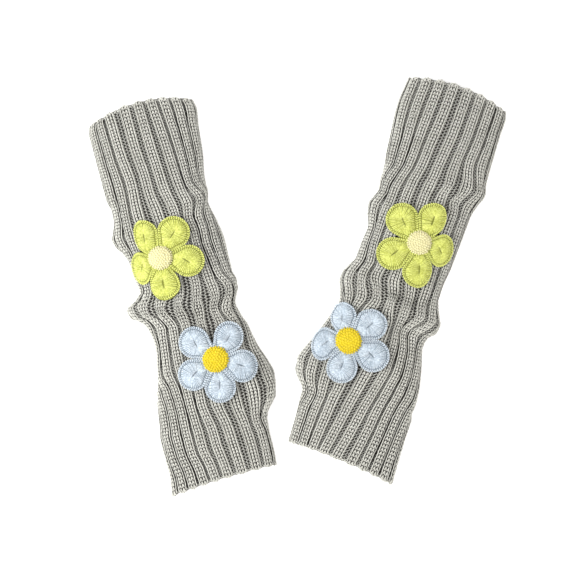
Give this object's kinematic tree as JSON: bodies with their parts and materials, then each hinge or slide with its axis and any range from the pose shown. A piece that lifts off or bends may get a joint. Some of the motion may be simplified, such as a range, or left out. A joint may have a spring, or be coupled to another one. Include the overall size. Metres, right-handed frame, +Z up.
{
  "type": "pair of knitted arm warmers",
  "caption": "Pair of long rib-knit fingerless arm warmers lying on a surface: soft tubes open at both ends, slit for the thumb, with crocheted flowers sewn on the fronts.",
  "frame": {"origin": "middle of the pair's bounding box, on the surface that it lies on", "axes": "+Z up out of the surface; -Y towards the hand ends; +X towards the sleeve at the right"},
  "size_m": [0.3759, 0.3754, 0.0312],
  "materials": {
    "grey_yarn": "matt, softly fuzzy acrylic and wool rib knit",
    "green_yarn": "matt crocheted yarn",
    "blue_yarn": "matt crocheted yarn",
    "cream_yarn": "matt crocheted yarn",
    "yellow_yarn": "matt crocheted yarn"
  },
  "bodies": {
    "root": {"sleeve_left": "grey_yarn", "green_petals_left": "green_yarn", "cream_centre_left": "cream_yarn", "blue_petals_left": "blue_yarn", "yellow_centre_left": "yellow_yarn", "sleeve_right": "grey_yarn", "green_petals_right": "green_yarn", "cream_centre_right": "cream_yarn", "blue_petals_right": "blue_yarn", "yellow_centre_right": "yellow_yarn"}
  },
  "joints": []
}
